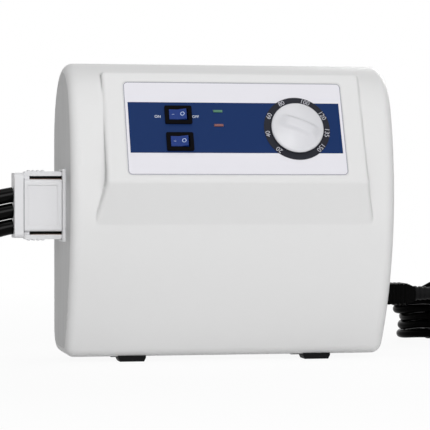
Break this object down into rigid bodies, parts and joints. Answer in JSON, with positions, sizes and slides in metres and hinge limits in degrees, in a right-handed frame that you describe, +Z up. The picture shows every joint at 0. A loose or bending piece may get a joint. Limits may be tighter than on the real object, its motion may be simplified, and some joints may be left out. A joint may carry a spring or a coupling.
{
  "type": "alternating pressure mattress pump",
  "caption": "Barrel-fronted air pump with a leaning control console, pressure dial, rocker switches, a quick plug with air hoses, fold-out bed hooks and a detachable mains lead.",
  "frame": {"origin": "on the surface the pump stands on, under the middle of the case", "axes": "+X to the user's right along the case, +Y from the console to the rear cover, +Z up"},
  "size_m": [0.7762, 0.2892, 0.2325],
  "materials": {
    "case_plastic": "light grey-white gloss ABS",
    "label_film": "printed polycarbonate film, navy band on pale grey",
    "knob_plastic": "white gloss ABS",
    "scale_print": "charcoal printed plate",
    "switch_plastic": "black gloss nylon",
    "rocker_plastic": "translucent blue polycarbonate",
    "green_lens": "green acrylic",
    "red_lens": "red acrylic",
    "white_plastic": "white ABS",
    "black_rubber": "black rubber",
    "hose_tube": "black gloss PVC tube",
    "lead_sheath": "black PVC sheath",
    "black_plastic": "black moulded plastic",
    "plated_steel": "zinc plated steel",
    "brass": "nickel plated brass",
    "steel": "laminated steel",
    "aluminium": "cast aluminium",
    "copper_coil": "enamelled copper under tape",
    "circuit_board": "glass fibre laminate",
    "filter_foam": "open cell foam",
    "silicone": "clear silicone tube"
  },
  "bodies": {
    "root": {"front_cover": "case_plastic", "rear_cover": "case_plastic", "case_screws": "plated_steel", "rubber_feet": "black_rubber", "control_label": "label_film", "dial_scale": "scale_print", "regulator_body": "brass", "regulator_nut": "plated_steel", "power_switch_housing": "switch_plastic", "mode_switch_housing": "switch_plastic", "green_lens": "green_lens", "red_lens": "red_lens", "indicator_board": "circuit_board", "hook_pins": "steel", "hose_socket": "white_plastic", "socket_manifold": "black_plastic", "mains_inlet": "black_plastic", "inlet_pins": "brass", "compressor_tray": "aluminium", "rubber_mounts": "black_rubber", "electromagnet_core": "steel", "electromagnet_coil": "copper_coil", "arm_pins": "steel", "valve_block": "aluminium", "bellows_front": "black_rubber", "bellows_rear": "black_rubber", "distributor_body": "black_plastic", "distributor_cap": "black_plastic", "distributor_motor": "plated_steel", "power_board": "circuit_board", "feed_tube": "silicone"},
    "pressure_dial": {"dial_knob": "knob_plastic", "regulator_shaft": "brass"},
    "power_rocker": {"power_rocker": "rocker_plastic"},
    "mode_rocker": {"mode_rocker": "rocker_plastic"},
    "left_hook": {"bed_hook_left": "white_plastic"},
    "right_hook": {"bed_hook_right": "white_plastic"},
    "filter": {"filter_cover": "white_plastic", "filter_foam": "filter_foam"},
    "hose_plug": {"hose_plug_body": "white_plastic", "hose_plug_end_plate": "white_plastic", "hose_lower": "hose_tube", "hose_middle": "hose_tube", "hose_upper": "hose_tube", "hose_coil_lower": "hose_tube", "hose_coil_middle": "hose_tube", "hose_coil_upper": "hose_tube", "hose_end_connectors": "white_plastic"},
    "upper_latch": {"hose_latch_upper": "white_plastic"},
    "lower_latch": {"hose_latch_lower": "white_plastic"},
    "mains_connector": {"mains_connector": "black_plastic", "connector_strain_relief": "black_rubber", "mains_lead": "lead_sheath", "lead_coil": "lead_sheath", "mains_plug": "black_plastic", "plug_blades": "brass"},
    "front_magnet_arm": {"magnet_arm_front": "steel"},
    "rear_magnet_arm": {"magnet_arm_rear": "steel"},
    "port_rotor": {"distributor_rotor": "white_plastic"}
  },
  "joints": [
    {"name": "dial_turn", "type": "hinge", "parent": "root", "child": "pressure_dial", "pos_m": [0.048, -0.04694, 0.18098], "axis": [0, -0.9272, 0.3746], "range_deg": [-25.5, 249.5]},
    {"name": "power_switch_rock", "type": "hinge", "parent": "root", "child": "power_rocker", "pos_m": [-0.0443, -0.04182, 0.19045], "axis": [0, 0.3746, 0.9272], "range_deg": [0, 18]},
    {"name": "mode_switch_rock", "type": "hinge", "parent": "root", "child": "mode_rocker", "pos_m": [-0.0443, -0.05014, 0.16987], "axis": [0, 0.3746, 0.9272], "range_deg": [0, 18]},
    {"name": "left_hook_swing", "type": "hinge", "parent": "root", "child": "left_hook", "pos_m": [-0.07, 0.064, 0.174], "axis": [1, 0, 0], "range_deg": [0, 90]},
    {"name": "right_hook_swing", "type": "hinge", "parent": "root", "child": "right_hook", "pos_m": [0.07, 0.064, 0.174], "axis": [1, 0, 0], "range_deg": [0, 90]},
    {"name": "filter_pull", "type": "slide", "parent": "root", "child": "filter", "axis": [0, 1, 0], "range_m": [0, 0.025]},
    {"name": "hose_plug_pull", "type": "slide", "parent": "root", "child": "hose_plug", "axis": [-1, 0, 0], "range_m": [0, 0.03]},
    {"name": "upper_latch_squeeze", "type": "hinge", "parent": "hose_plug", "child": "upper_latch", "pos_m": [-0.1545, -0.002, 0.1446], "axis": [0, 1, 0], "range_deg": [0, 3.4], "stiffness_Nm_per_rad": 0.6},
    {"name": "lower_latch_squeeze", "type": "hinge", "parent": "hose_plug", "child": "lower_latch", "pos_m": [-0.1545, -0.002, 0.0994], "axis": [0, -1, 0], "range_deg": [0, 3.4], "stiffness_Nm_per_rad": 0.6},
    {"name": "mains_connector_pull", "type": "slide", "parent": "root", "child": "mains_connector", "axis": [1, 0, 0], "range_m": [0, 0.025]},
    {"name": "front_arm_swing", "type": "hinge", "parent": "root", "child": "front_magnet_arm", "pos_m": [0.007, 0.00875, 0.05], "axis": [0, 0, 1], "range_deg": [-1.5, 1.5], "stiffness_Nm_per_rad": 0.5, "deforming": ["bellows_front"]},
    {"name": "rear_arm_swing", "type": "hinge", "parent": "root", "child": "rear_magnet_arm", "pos_m": [0.007, 0.04875, 0.05], "axis": [0, 0, 1], "range_deg": [-1.5, 1.5], "stiffness_Nm_per_rad": 0.5, "deforming": ["bellows_rear"]},
    {"name": "port_rotor_turn", "type": "hinge", "parent": "root", "child": "port_rotor", "pos_m": [-0.078, 0.014, 0.118], "axis": [0, 0, 1], "continuous": true}
  ],
  "couplings": [
    {"joint": "rear_arm_swing", "follows": "front_arm_swing", "ratio": -1}
  ]
}
